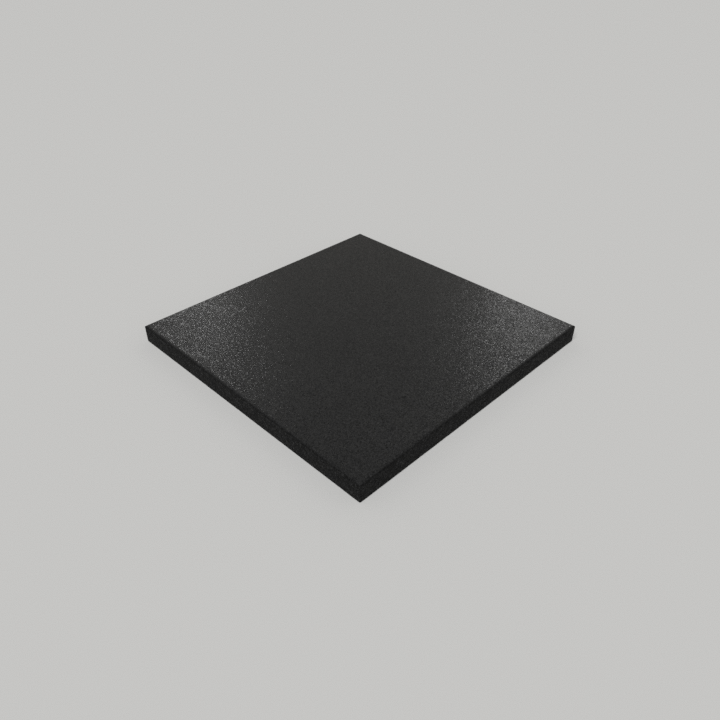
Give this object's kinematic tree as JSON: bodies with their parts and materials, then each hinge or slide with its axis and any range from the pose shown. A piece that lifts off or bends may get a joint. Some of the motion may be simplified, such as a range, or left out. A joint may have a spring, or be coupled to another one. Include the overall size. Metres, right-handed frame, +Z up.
{
  "type": "rubber safety tile",
  "caption": "Square black rubber safety tile with rounded top edges and a fine granular tread face, laid edge to edge as impact-absorbing flooring.",
  "frame": {"origin": "centre of the underside, on the surface that the tile lies on", "axes": "+Z up, out of the tread face; X and Y run along the tile's two pairs of sides"},
  "size_m": [0.5, 0.5, 0.03],
  "materials": {
    "bonded_rubber": "matt charcoal-black bonded rubber granulate with a fine closed grain and a low sheen on the tops of its granules"
  },
  "bodies": {
    "root": {"rubber_tile": "bonded_rubber"}
  },
  "joints": []
}
